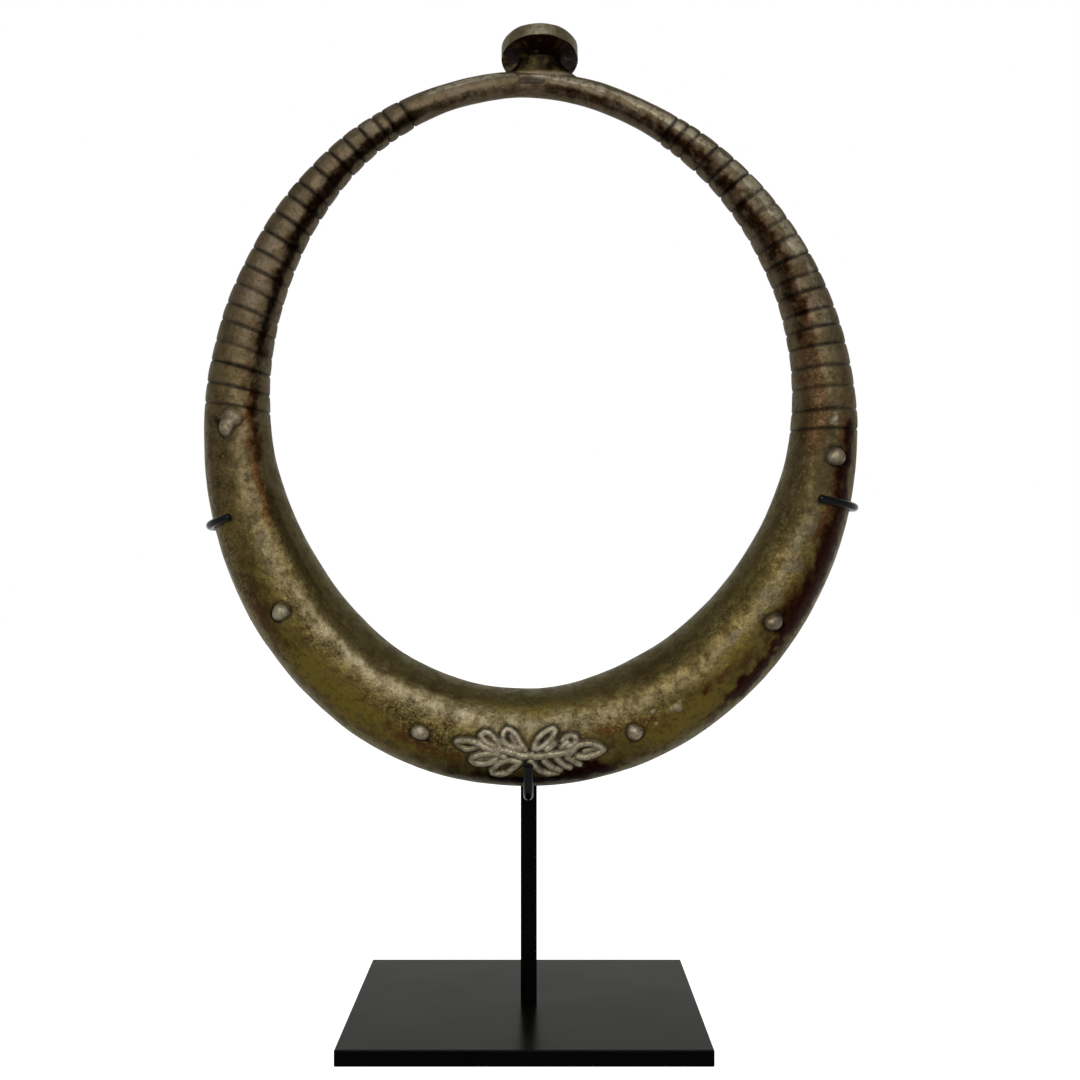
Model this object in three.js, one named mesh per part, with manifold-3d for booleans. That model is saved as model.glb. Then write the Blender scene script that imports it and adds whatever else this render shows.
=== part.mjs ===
// A cast bronze torque necklace, hung on a black steel display stand.
// Millimetres, +Z up, the front faces -Y. The origin is the centre of the base plate's underside.
import * as THREE from "three";
import Module from "manifold-3d";
import { mergeVertices } from "three/addons/utils/BufferGeometryUtils.js";

const wasm = await Module();
wasm.setup();

// Stand
const PLATE_SIDE = 135;
const PLATE_THICKNESS = 6;
const POST_SIDE = 6.35;
const POST_TOP = 121;
const POST_X = 1.3;
const ARM_WIRE = 3;
const LOWER_HOOK_WIRE = 3.6;
// What the necklace keeps to the wires and to the post's front face
const GAP = 0.3;

// Necklace ring. Its outline is an ellipse, swollen or drawn in by a share at each of twelve
// places, evenly spaced from the lowest point towards +X. The band's width is given at the same places.
const RING_WIDTH = 250.8;
const RING_HEIGHT = 274.3;
const RING_X = 1.7;
const RING_LOWEST = 93.7;
const OUTLINE_SHARES = [
  1.002, 1.0005, 1.0035, 1.003, 0.9873, 0.9802,
  0.9982, 0.996, 0.9866, 0.9956, 1.0058, 1.0114,
];
const BAND_WIDTHS = [37.5, 37.8, 33.5, 25.4, 18.3, 12.2, 9.9, 12.1, 18.5, 25.6, 33.5, 36.9];
// Front-to-back depth of the oval section, as a share of the band's width
const DEPTH_SHARE = 0.87;
const SECTION_SIDES = 16;
const STATION_ANGLE = 6;

// Cut lines round both arms of the ring. Angles run from the ring's lowest point, on the arm's own side.
const GROOVES = 20;
const GROOVE_WIDTH = 2;
const GROOVE_DEPTH = 0.9;
const RIGHT_GROOVES = { side: 1, outerAngles: [89.8, 152.3], innerAngles: [90, 153] };
const LEFT_GROOVES = { side: -1, outerAngles: [94.2, 156.6], innerAngles: [93.2, 157.4] };

// Pellets on the front: the angle along the ring, the angle round the section from its outer edge
const PELLETS = [
  { angle: -89.8, roundAngle: 80, diameter: 6.6 },
  { angle: -56.1, roundAngle: 77, diameter: 6.6 },
  { angle: -21.5, roundAngle: 77, diameter: 5.5 },
  { angle: 20.9, roundAngle: 74, diameter: 6.4 },
  { angle: 54, roundAngle: 72, diameter: 6.8 },
  { angle: 84.8, roundAngle: 75, diameter: 7.5 },
];
const PELLET_HEIGHT_SHARE = 0.7;

// Leaf sprays on the lower front. Places are millimetres along the ring, positive to +X, and
// millimetres down round the section, both from the spray's centre on the front crest.
const SPRAY_ANGLE = 1;
const LEAF_EDGE = 1.8;
const STEM_WIDTH = 2.1;
const RELIEF_HEIGHT = 1.2;
const RELIEF_ROOT = 1.2;
// A raised line's section, from its root to its crest: half widths as shares of its width, and heights
const ROOT_SHARE = 0.58;
const CREST_SHARE = 0.3;
const LEAVES = [
  { base: [-3.5, 4.3], tip: [-10.7, -4.9], width: 6 },
  { base: [-12.8, 3.6], tip: [-19.8, -2.6], width: 4.8 },
  { base: [-18.5, 3.6], tip: [-29, 3.3], width: 4.3 },
  { base: [-11.1, 6.9], tip: [-22.2, 9.5], width: 4.5 },
  { base: [-5.4, 8.8], tip: [-14.6, 14.4], width: 4.8 },
  { base: [0, 3.3], tip: [8.9, -4.9], width: 4.8 },
  { base: [10, 3.3], tip: [16.5, -0.3], width: 4.3 },
  { base: [12.9, 5.9], tip: [24.6, 7.9], width: 6.3 },
  { base: [-0.4, 8.2], tip: [6.7, 14.4], width: 5 },
  { base: [9.1, 8.5], tip: [14.6, 13.1], width: 4.7 },
];
const STEMS = [
  [[-12.8, 3.9], [-8.9, 4.1], [-5.4, 5.4], [-0.6, 5.7]],
  [[-18.1, 3.3], [-14.4, 4.6]],
  [[0.6, 5.9], [4.4, 5.9], [8.1, 5.6], [13, 6.2]],
  [[4.8, 3.8], [9, 0.7]],
];

// Button on its flared neck, on top of the ring
const BUTTON_ASIDE = 3.9;
const BUTTON_RISE = 4.05;
const BUTTON_DIAMETER = 29.3;
const BUTTON_THICKNESS = 5.9;
const BUTTON_ROUNDING = 1.4;
const BUTTON_TILT_ANGLE = -22.6;
// Half widths of the neck along X and Y
const NECK_FOOT = [20, 4.2];
const NECK_HEAD = [7, 3.5];
// Shallow square-cornered recess in the band's front, below the button
const RECESS_ASIDE = 0.9;
const RECESS_DROP = 4.35;
const RECESS_WIDTH = 9.4;
const RECESS_HEIGHT = 2.7;
const RECESS_DEPTH = 0.8;

// Hooks round the ring's edges: angles along the ring at its edge and at the tip, and how far
// round the section the tip reaches
const LEFT_HOOK = { side: -1, edgeAngle: 73.8, tipAngle: 74.6, reachAngle: 69 };
const RIGHT_HOOK = { side: 1, edgeAngle: 77.4, tipAngle: 77.2, reachAngle: 91 };
const HOOK_CORNER = 5;
// The lower hook turns up in front of the ring
const LOWER_HOOK_BEND = 5;
const LOWER_HOOK_RISE = 12.8;

const BRONZE = new THREE.MeshStandardMaterial({ color: 0x5f5334, roughness: 0.45, metalness: 0.9 });
const BLACK_STEEL = new THREE.MeshStandardMaterial({ color: 0x141312, roughness: 0.5, metalness: 0.3 });

// Where the ring lies: its plane passes in front of the post, so that its thickest place clears the post
const RING_Y = -POST_SIDE / 2 - GAP - (Math.max(...BAND_WIDTHS) / 2) * DEPTH_SHARE;
const RING_Z = RING_LOWEST + RING_HEIGHT / 2;
// Angles round the section
const FRONT = 90;
const BACK = 270;
const OUTER_EDGE = 360;


const stations = new THREE.CatmullRomCurve3(
  OUTLINE_SHARES.map((share, i) => new THREE.Vector3(share, BAND_WIDTHS[i], 0)),
  true,
  "catmullrom",
);
const radians = THREE.MathUtils.degToRad;
const degrees = THREE.MathUtils.radToDeg;

// The ring's share and band width at an angle from its lowest point
function stationAt(angle) {
  return stations.getPoint((((angle % 360) + 360) % 360) / 360);
}

// A point of the outer outline, in the ring's plane
function outlineAt(angle) {
  const share = stationAt(angle).x;
  const x = RING_X + (share * RING_WIDTH * Math.sin(radians(angle))) / 2;
  const z = RING_Z - (share * RING_HEIGHT * Math.cos(radians(angle))) / 2;
  return new THREE.Vector3(x, RING_Y, z);
}

// The outline's direction at an angle, towards +X at the lowest point
function directionAt(angle) {
  const reach = 0.05;
  return outlineAt(angle + reach).sub(outlineAt(angle - reach)).normalize();
}

// A point over the ring's surface: the angle along the ring, the angle round the section from
// its outer edge by the front, and the height over the surface
function onRing(angle, round, height = 0) {
  const halfWidth = stationAt(angle).y / 2;
  const along = directionAt(angle);
  const outward = new THREE.Vector3(along.z, 0, -along.x);
  const point = outlineAt(angle).addScaledVector(outward, -halfWidth);
  point.addScaledVector(outward, (halfWidth + height) * Math.cos(radians(round)));
  point.y -= (halfWidth * DEPTH_SHARE + height) * Math.sin(radians(round));
  return point;
}

// Millimetres along the band's middle for each degree
function pitchAt(angle) {
  const middle = (a) => onRing(a, 0, -stationAt(a).y / 2);
  return middle(angle + 0.5).distanceTo(middle(angle - 0.5));
}

// One closed body through a row of sections with the same number of points. A looped row
// closes on itself, any other has a flat end at each side.
function loft(sections, looped) {
  const sides = sections[0].length;
  const points = sections.flat();
  const faces = [];
  const rows = looped ? sections.length : sections.length - 1;
  for (let row = 0; row < rows; row++) {
    const here = row * sides;
    const next = ((row + 1) % sections.length) * sides;
    for (let side = 0; side < sides; side++) {
      const beside = (side + 1) % sides;
      faces.push(here + side, next + side, next + beside);
      faces.push(here + side, next + beside, here + beside);
    }
  }
  if (!looped) {
    const last = (sections.length - 1) * sides;
    for (let side = 1; side < sides - 1; side++) {
      faces.push(0, side, side + 1);
      faces.push(last, last + side + 1, last + side);
    }
  }
  const geometry = new THREE.BufferGeometry().setFromPoints(points);
  geometry.setIndex(faces);
  return geometry;
}

// A geometry as a solid that can be joined or cut
function solid(geometry) {
  const bare = geometry.clone();
  bare.deleteAttribute("normal");
  bare.deleteAttribute("uv");
  const merged = mergeVertices(bare, 1e-4);
  const triVerts = new Uint32Array(merged.index.array);
  const vertProperties = new Float32Array(merged.attributes.position.array);
  return new wasm.Manifold(new wasm.Mesh({ numProp: 3, vertProperties, triVerts }));
}

// A solid as a geometry
function geometryOf(made) {
  const { vertProperties, triVerts } = made.getMesh();
  const geometry = new THREE.BufferGeometry();
  geometry.setAttribute("position", new THREE.BufferAttribute(vertProperties, 3));
  geometry.setIndex(new THREE.BufferAttribute(triVerts, 1));
  return geometry;
}

// One station of the ring. Its outer and inner edges may lie at different angles, as the cut
// lines are slanted, and a groove's floor is sunk below the surface.
function ringSection(outerAngle, innerAngle, sunk) {
  return Array.from({ length: SECTION_SIDES }, (_, i) => {
    const round = (360 * i) / SECTION_SIDES;
    const share = (1 - Math.cos(radians(round))) / 2;
    return onRing(THREE.MathUtils.lerp(outerAngle, innerAngle, share), round, -sunk);
  });
}

// The three stations of one groove of an arm, from its lower lip to its upper one
function grooveSections(arm, number) {
  const share = number / (GROOVES - 1);
  const outer = arm.side * THREE.MathUtils.lerp(...arm.outerAngles, share);
  const inner = arm.side * THREE.MathUtils.lerp(...arm.innerAngles, share);
  const lip = (arm.side * GROOVE_WIDTH) / 2 / pitchAt(outer);
  return [-1, 0, 1].map((place) =>
    ringSection(outer + place * lip, inner + place * lip, place === 0 ? GROOVE_DEPTH : 0),
  );
}

// The plain stations between two angles of the outer and inner edges, without the ends
function plainSections(outer, inner) {
  const count = Math.round((outer[1] - outer[0]) / STATION_ANGLE);
  return Array.from({ length: count - 1 }, (_, i) => {
    const share = (i + 1) / count;
    return ringSection(THREE.MathUtils.lerp(...outer, share), THREE.MathUtils.lerp(...inner, share), 0);
  });
}

// The whole ring, round once from the right arm's lowest groove by the top
function ring() {
  const numbers = Array.from({ length: GROOVES }, (_, i) => i);
  const right = numbers.flatMap((number) => grooveSections(RIGHT_GROOVES, number));
  const left = numbers.flatMap((number) => grooveSections(LEFT_GROOVES, number)).reverse();
  const top = plainSections(
    [RIGHT_GROOVES.outerAngles[1], 360 - LEFT_GROOVES.outerAngles[1]],
    [RIGHT_GROOVES.innerAngles[1], 360 - LEFT_GROOVES.innerAngles[1]],
  );
  const bottom = plainSections(
    [-LEFT_GROOVES.outerAngles[0], RIGHT_GROOVES.outerAngles[0]],
    [-LEFT_GROOVES.innerAngles[0], RIGHT_GROOVES.innerAngles[0]],
  );
  return loft([...right, ...top, ...left, ...bottom], true);
}

// A low dome on the ring's front
function pellet({ angle, roundAngle, diameter }) {
  const seat = onRing(angle, roundAngle);
  const outward = onRing(angle, roundAngle, diameter).sub(seat).normalize();
  const dome = new THREE.SphereGeometry(diameter / 2, 10, 6);
  dome.scale(1, PELLET_HEIGHT_SHARE, 1);
  dome.applyQuaternion(new THREE.Quaternion().setFromUnitVectors(new THREE.Vector3(0, 1, 0), outward));
  return dome.translate(...seat);
}

// A point over the ring's front, from its place in the spray
function onSpray([along, down], height) {
  const halfWidth = stationAt(SPRAY_ANGLE).y / 2;
  const round = FRONT - degrees(down / halfWidth);
  return onRing(SPRAY_ANGLE + along / pitchAt(SPRAY_ANGLE), round, height);
}

// The corners of a raised line's section: shares of its width towards its left, and heights
const RIDGE_CORNERS = [
  [-ROOT_SHARE, -RELIEF_ROOT],
  [ROOT_SHARE, -RELIEF_ROOT],
  [CREST_SHARE, RELIEF_HEIGHT],
  [-CREST_SHARE, RELIEF_HEIGHT],
];

// A stem: a raised line through places of the spray, rooted below the surface
function stem(places) {
  const sections = places.map((place, i) => {
    const before = places[Math.max(i - 1, 0)];
    const after = places[Math.min(i + 1, places.length - 1)];
    const left = new THREE.Vector2(before[1] - after[1], after[0] - before[0]).setLength(STEM_WIDTH);
    return RIDGE_CORNERS.map(([share, height]) =>
      onSpray([place[0] + left.x * share, place[1] + left.y * share], height),
    );
  });
  return loft(sections, false);
}

// The raised edge of one oval leaf
function leaf({ base, tip, width }) {
  const middle = [(base[0] + tip[0]) / 2, (base[1] + tip[1]) / 2];
  const axis = new THREE.Vector2(tip[0] - base[0], tip[1] - base[1]);
  const length = axis.length();
  axis.normalize();
  const steps = 12;
  const sections = Array.from({ length: steps }, (_, i) => {
    const turn = (2 * Math.PI * i) / steps;
    return RIDGE_CORNERS.map(([share, height]) => {
      const inset = LEAF_EDGE * (0.5 + share);
      const along = (length / 2 - inset) * Math.cos(turn);
      const aside = (width / 2 - inset) * Math.sin(turn);
      const forward = middle[0] + axis.x * along - axis.y * aside;
      const down = middle[1] + axis.y * along + axis.x * aside;
      return onSpray([forward, down], height);
    });
  });
  return loft(sections, true);
}

// The middle of the button's underside
function buttonSeat() {
  const top = outlineAt(180);
  return new THREE.Vector3(RING_X + BUTTON_ASIDE, RING_Y, top.z + BUTTON_RISE);
}

// The flared neck, from inside the ring up into the button
function neck() {
  const seat = buttonSeat();
  const foot = onRing(180, 0, -stationAt(180).y / 2).z;
  const head = seat.z + BUTTON_THICKNESS / 2;
  const steps = 6;
  const sides = 16;
  const sections = Array.from({ length: steps + 1 }, (_, step) => {
    const share = step / steps;
    const flare = (1 - share) ** 2;
    const halfX = THREE.MathUtils.lerp(NECK_HEAD[0], NECK_FOOT[0], flare);
    const halfY = THREE.MathUtils.lerp(NECK_HEAD[1], NECK_FOOT[1], flare);
    const z = THREE.MathUtils.lerp(foot, head, share);
    return Array.from({ length: sides }, (_, side) => {
      const turn = (2 * Math.PI * side) / sides;
      return new THREE.Vector3(seat.x + halfX * Math.cos(turn), seat.y - halfY * Math.sin(turn), z);
    });
  });
  return loft(sections, false);
}

// The round button, rounded below, tilted so that its front edge is raised
function button() {
  const radius = BUTTON_DIAMETER / 2;
  const outline = [
    [0, 0],
    [radius - BUTTON_ROUNDING, 0],
    [radius - BUTTON_ROUNDING / 3, BUTTON_ROUNDING / 3],
    [radius, BUTTON_ROUNDING],
    [radius, BUTTON_THICKNESS],
    [0, BUTTON_THICKNESS],
  ];
  const disc = new THREE.LatheGeometry(outline.map((point) => new THREE.Vector2(...point)), 32);
  disc.rotateX(Math.PI / 2 + radians(BUTTON_TILT_ANGLE));
  return disc.translate(...buttonSeat());
}

// The recess, as the block that is cut away
function recess() {
  const block = new THREE.BoxGeometry(RECESS_WIDTH, 2 * RECESS_DEPTH, RECESS_HEIGHT);
  return block.translate(RING_X + RECESS_ASIDE, onRing(180, FRONT).y, outlineAt(180).z - RECESS_DROP);
}

// The necklace is one casting
function necklace() {
  const raised = [
    ...PELLETS.map(pellet),
    ...LEAVES.map(leaf),
    ...STEMS.map(stem),
    neck(),
    button(),
  ];
  const whole = raised.reduce((made, piece) => made.add(solid(piece)), solid(ring()));
  return new THREE.Mesh(geometryOf(whole.subtract(solid(recess()))), BRONZE);
}

// A round wire through points, with flat ends square to its first and last stretch
function wire(points, diameter) {
  const sides = 8;
  const side = new THREE.Vector3(0, 0, 1);
  const sections = points.map((point, i) => {
    const before = points[Math.max(i - 1, 0)];
    const after = points[Math.min(i + 1, points.length - 1)];
    const along = after.clone().sub(before).normalize();
    side.addScaledVector(along, -side.dot(along)).normalize();
    const aside = side.clone().cross(along);
    return Array.from({ length: sides }, (_, i) => {
      const turn = (2 * Math.PI * i) / sides;
      return point
        .clone()
        .addScaledVector(side, (diameter / 2) * Math.cos(turn))
        .addScaledVector(aside, (diameter / 2) * Math.sin(turn));
    });
  });
  return loft(sections, false);
}

// An arm leaves the post's side, runs along the ring's back, turns outwards and hooks round the edge
function arm({ side, edgeAngle, tipAngle, reachAngle }) {
  const height = GAP + ARM_WIRE / 2;
  const cornerAngle = HOOK_CORNER / pitchAt(side * edgeAngle);
  const girth = stationAt(side * edgeAngle).y / 2 + height;
  const points = [];
  const place = (angle, round) => points.push(onRing(side * angle, round, height));
  const postAngle = 4;
  const steps = 12;
  for (let step = 0; step <= steps; step++) {
    place(THREE.MathUtils.lerp(postAngle, edgeAngle - cornerAngle, step / steps), BACK);
  }
  const cornerSteps = 4;
  for (let step = 1; step <= cornerSteps; step++) {
    const turn = ((Math.PI / 2) * step) / cornerSteps;
    const wrapped = degrees((HOOK_CORNER * (1 - Math.cos(turn))) / girth);
    place(edgeAngle - cornerAngle * (1 - Math.sin(turn)), BACK + wrapped);
  }
  const wrapStart = BACK + degrees(HOOK_CORNER / girth);
  const wrapSteps = 10;
  for (let step = 1; step <= wrapSteps; step++) {
    const share = step / wrapSteps;
    const round = THREE.MathUtils.lerp(wrapStart, OUTER_EDGE + reachAngle, share);
    place(THREE.MathUtils.lerp(edgeAngle, tipAngle, share), round);
  }
  const onPost = points[0].clone().setX(POST_X + (side * POST_SIDE) / 2);
  return new THREE.Mesh(wire([onPost, ...points], ARM_WIRE), BLACK_STEEL);
}

// The lower hook leaves the post's front, passes below the ring and turns up in front of it
function lowerHook() {
  const radius = LOWER_HOOK_WIRE / 2;
  const front = onRing(0, FRONT).y - GAP - radius;
  const bottom = RING_LOWEST - GAP - radius;
  const bendY = front + LOWER_HOOK_BEND;
  const bendZ = bottom + LOWER_HOOK_BEND;
  const at = (y, z) => new THREE.Vector3(POST_X, y, z);
  const steps = 5;
  const bend = Array.from({ length: steps + 1 }, (_, step) => {
    const turn = ((Math.PI / 2) * step) / steps;
    return at(bendY - LOWER_HOOK_BEND * Math.sin(turn), bendZ - LOWER_HOOK_BEND * Math.cos(turn));
  });
  const points = [at(-POST_SIDE / 2, bottom), ...bend, at(front, bottom + LOWER_HOOK_RISE)];
  return new THREE.Mesh(wire(points, LOWER_HOOK_WIRE), BLACK_STEEL);
}

function basePlate() {
  const plate = new THREE.Mesh(new THREE.BoxGeometry(PLATE_SIDE, PLATE_SIDE, PLATE_THICKNESS), BLACK_STEEL);
  plate.position.set(0, 0, PLATE_THICKNESS / 2);
  return plate;
}

function post() {
  const length = POST_TOP - PLATE_THICKNESS;
  const bar = new THREE.Mesh(new THREE.BoxGeometry(POST_SIDE, POST_SIDE, length), BLACK_STEEL);
  bar.position.set(POST_X, 0, PLATE_THICKNESS + length / 2);
  return bar;
}

const pieces = {
  necklace: necklace(),
  base_plate: basePlate(),
  post: post(),
  left_arm: arm(LEFT_HOOK),
  right_arm: arm(RIGHT_HOOK),
  lower_hook: lowerHook(),
};

const part = new THREE.Group();
for (const [name, mesh] of Object.entries(pieces)) {
  mesh.name = name;
  part.add(mesh);
}

export default part;
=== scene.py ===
import math

import bpy
import numpy as np
from mathutils import Matrix, Vector, noise


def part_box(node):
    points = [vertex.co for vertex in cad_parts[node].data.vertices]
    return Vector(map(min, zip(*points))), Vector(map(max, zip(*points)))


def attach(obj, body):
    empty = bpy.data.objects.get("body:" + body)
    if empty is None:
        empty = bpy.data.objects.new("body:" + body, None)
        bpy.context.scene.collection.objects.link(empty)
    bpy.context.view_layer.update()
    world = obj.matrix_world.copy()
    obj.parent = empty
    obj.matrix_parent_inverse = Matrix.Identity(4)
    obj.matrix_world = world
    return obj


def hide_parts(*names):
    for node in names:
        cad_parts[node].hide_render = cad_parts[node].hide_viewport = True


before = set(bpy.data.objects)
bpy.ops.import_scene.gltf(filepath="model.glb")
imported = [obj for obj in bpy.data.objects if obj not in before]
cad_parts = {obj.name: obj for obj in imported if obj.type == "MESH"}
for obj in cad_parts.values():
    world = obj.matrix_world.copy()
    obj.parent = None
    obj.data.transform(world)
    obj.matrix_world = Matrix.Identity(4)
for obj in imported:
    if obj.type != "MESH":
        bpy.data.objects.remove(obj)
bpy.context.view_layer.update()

# ---------------------------------------------------------------- Ring of the necklace
# The heavy closed ring of the necklace, one lost-wax casting in brass-coloured bronze. The wax model
# had its grooves cut with a blade and its pellets and leaf threads laid on by hand, and old wear has
# rounded them all. It hangs on the stand by its own weight. All sizes are metres, angles are degrees.
RING_WIDTH = 0.2508
RING_HEIGHT = 0.2743
RING_X = 0.0017
RING_LOWEST = 0.0937
MEAN_RADIUS = 0.106
# The outline is an ellipse, swollen or drawn in at twelve even places from the lowest point towards +X
OUTLINE_SHARES = [
    1.002, 1.0005, 1.0035, 1.003, 0.9873, 0.9802,
    0.9982, 0.996, 0.9866, 0.9956, 1.0058, 1.0114,
]
BAND_WIDTHS = [
    0.0375, 0.0378, 0.0335, 0.0254, 0.0183, 0.0122,
    0.0099, 0.0121, 0.0185, 0.0256, 0.0335, 0.0369,
]
DEPTH_SHARE = 0.87
POST_SIDE = 0.00635
STAND_GAP = 0.0003
RING_Y = -POST_SIDE / 2 - STAND_GAP - max(BAND_WIDTHS) / 2 * DEPTH_SHARE
RING_Z = RING_LOWEST + RING_HEIGHT / 2
# Slopes and lengths along the ring are taken over this many degrees
FINE_STEP = 0.05


def smooth_loop(values, angle):
    """A smooth closed line through evenly spaced values, read at an angle."""
    values = np.asarray(values)
    count = len(values)
    place = np.mod(angle, 360) / 360 * count
    first = np.floor(place).astype(int)
    share = place - first
    before, here, after, beyond = (values[(first + step) % count] for step in (-1, 0, 1, 2))
    curve = 2 * before - 5 * here + 4 * after - beyond
    twist = 3 * here - before - 3 * after + beyond
    return here + share * (after - before + share * (curve + share * twist)) / 2


def outline_at(angle):
    """The ring's outer edge as x and z, at an angle from its lowest point towards +X."""
    share = smooth_loop(OUTLINE_SHARES, angle)
    x = RING_X + share * RING_WIDTH / 2 * np.sin(np.radians(angle))
    z = RING_Z - share * RING_HEIGHT / 2 * np.cos(np.radians(angle))
    return x, z


def ring_point(angle, turn, height):
    """A point over the ring. The turn runs round the section: outer edge 0, front 90, inner edge 180."""
    half = smooth_loop(BAND_WIDTHS, angle) / 2
    x, z = outline_at(angle)
    x_after, z_after = outline_at(angle + FINE_STEP)
    x_before, z_before = outline_at(angle - FINE_STEP)
    length = np.hypot(x_after - x_before, z_after - z_before)
    out_x = (z_after - z_before) / length
    out_z = (x_before - x_after) / length
    reach = (half + height) * np.cos(np.radians(turn)) - half
    y = RING_Y - (half * DEPTH_SHARE + height) * np.sin(np.radians(turn))
    return np.stack([x + out_x * reach, y, z + out_z * reach], -1)


def pitch_at(angle):
    """Metres along the middle of the band for each degree."""
    half = smooth_loop(BAND_WIDTHS, angle) / 2
    step = ring_point(angle + 0.5, 0, -half) - ring_point(angle - 0.5, 0, -half)
    return np.linalg.norm(step, axis=-1)


# Twenty cut lines round each arm: their angles at the outer edge, how far they slant from there to the
# inner edge at even places from the lowest to the highest one, and how deep each is cut
CUTS = [
    {
        "side": 1,
        "angles": [89.8, 93.0, 96.8, 100.2, 103.8, 107.0, 110.0, 113.5, 116.3, 119.8,
                   123.4, 126.6, 129.8, 133.0, 136.6, 140.2, 143.6, 147.5, 149.9, 152.2],
        "slant": [-0.3, 1.0, 0.9, 0.7, 0.7, 0.7],
        "shares": [0.8, 0.75, 0.6, 0.75, 0.85, 0.85, 0.9, 0.9, 0.7, 1,
                   0.7, 0.65, 0.5, 0.75, 1, 1, 1, 0.8, 0.85, 0.95],
    },
    {
        "side": -1,
        "angles": [94.1, 97.4, 101.0, 104.3, 107.9, 110.8, 114.3, 117.6, 120.8, 124.2,
                   127.8, 131.3, 134.2, 137.8, 141.4, 144.7, 147.9, 150.8, 152.8, 156.2],
        "slant": [-1.0, 0.8],
        "shares": [0.8, 0.85, 1, 0.45, 0.8, 0.7, 0.7, 0.8, 0.9, 1, 1, 1, 1, 1, 1, 1, 1, 0.9, 0.9, 1],
    },
]
GROOVE_DEPTH = 0.0009
GROOVE_HALF = 0.00047
GROOVE_DIRT_HALF = 0.001
# A segment between two cut lines reaches its full swell at this distance from them
SEGMENT_SWELL = 0.0003
SEGMENT_SLOPE = 0.0034

# Pellets and the low lumps beside them: angle along the ring, turn round the section, diameter, rise, and
# the ways that the longer diameter and one of three blunt corners point
PELLETS = [
    (-89.8, 79, 0.0062, 0.7, 20, 115),
    (-91.4, 88, 0.0084, 0.42, 60, 50),
    (-56.1, 77, 0.0065, 1, 83, 70),
    (-21.5, 77, 0.0061, 1, 0, 20),
    (20.9, 74, 0.0058, 1, 72, 10),
    (54, 72, 0.0065, 1, 40, 110),
    (84.8, 74, 0.0071, 1, 90, 0),
    (30.3, 77, 0.0036, 0.75, 60, 0),
    (29.1, 79, 0.0020, 0.5, 90, 0),
    (31.1, 80, 0.0021, 0.5, 90, 0),
    (25.8, 87, 0.0019, 0.6, 0, 0),
    (25.3, 73, 0.0017, 0.5, 0, 0),
]
PELLET_HEIGHT_SHARE = 0.7
PELLET_DITCH = 0.00016
SMALLEST_PELLET = 0.005
# The pellets beyond this angle are tarnished and have dirt round them
TARNISHED_FROM = 40

# Leaf threads and their half width, as millimetres along the ring and down its front from the middle of
# the two sprays. Their height and the depth of the ground beside them are metres.
SPRAY_ANGLE = 1
THREAD_HALF = 1.2
THREAD_HEIGHT = 0.00125
THREAD_DITCH = 0.0003
LEAF_THREADS = [
    [(-3.3, 3.0), (-4.5, 1.1), (-5.8, -1.2), (-7.3, -3.1), (-9.0, -4.2), (-10.4, -4.3), (-11.5, -3.1),
     (-11.6, -1.1), (-10.9, 0.6), (-9.2, 1.8), (-7.0, 2.4), (-4.7, 3.0)],
    [(-12.6, 2.5), (-13.6, 0.6), (-15.2, -1.2), (-16.9, -2.4), (-18.9, -2.4), (-20.0, -1.1),
     (-19.0, 0.2), (-17.0, 1.5), (-14.7, 2.4)],
    [(-19.0, 2.9), (-21.2, 1.8), (-24.6, 1.8), (-27.8, 2.7)],
    [(-18.8, 3.0), (-16.7, 3.5), (-14.8, 3.9)],
    [(-10.5, 6.2), (-13.1, 5.2), (-15.8, 5.3), (-19.1, 6.2), (-21.5, 7.9), (-21.7, 9.1), (-20.3, 10.2),
     (-17.9, 10.2), (-15.4, 9.2), (-13.3, 7.4)],
    [(-5.0, 8.0), (-8.0, 7.3), (-10.6, 7.9), (-12.8, 9.7), (-14.1, 12.4), (-13.8, 13.9),
     (-11.6, 14.4), (-9.5, 13.4), (-7.4, 11.0), (-5.4, 8.7)],
    [(0.0, 2.7), (0.4, 0.7), (1.7, -1.2), (3.5, -2.8), (5.6, -3.8), (7.9, -4.3), (8.5, -3.4),
     (7.7, -1.8), (5.7, 0.1), (3.4, 1.9), (1.4, 2.9)],
    [(4.6, 3.5), (6.1, 2.5), (7.7, 1.3)],
    [(10.7, 0.7), (11.9, -0.5), (14.1, -0.8), (15.7, 0.1), (15.8, 1.6), (14.4, 2.9), (12.3, 3.5)],
    [(10.0, 3.1), (11.1, 2.5), (12.4, 1.8)],
    [(12.9, 6.1), (14.6, 4.3), (16.7, 3.3), (19.3, 3.4), (21.7, 4.3), (23.6, 5.7), (24.5, 7.4),
     (22.7, 8.3), (20.5, 8.8), (17.8, 8.9), (15.2, 7.8)],
    [(-1.3, 7.8), (0.2, 10.1), (1.9, 12.3), (4.4, 13.8), (7.3, 14.0)],
    [(3.4, 7.9), (5.0, 10.0), (6.7, 11.7), (8.4, 12.8)],
    [(7.8, 7.4), (9.2, 9.4), (10.3, 11.0), (11.8, 12.1)],
    [(11.6, 7.5), (13.1, 8.9), (14.4, 10.6), (15.3, 11.4)],
]
STEM_THREADS = [
    [(-12.9, 3.7), (-10.1, 3.8), (-7.8, 4.3), (-5.5, 5.3), (-3.1, 5.9), (-0.8, 5.2)],
    [(0.4, 6.0), (2.2, 5.8), (4.9, 5.6), (7.6, 5.5), (10.1, 5.5), (12.2, 5.4), (14.3, 4.7)],
]
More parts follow.
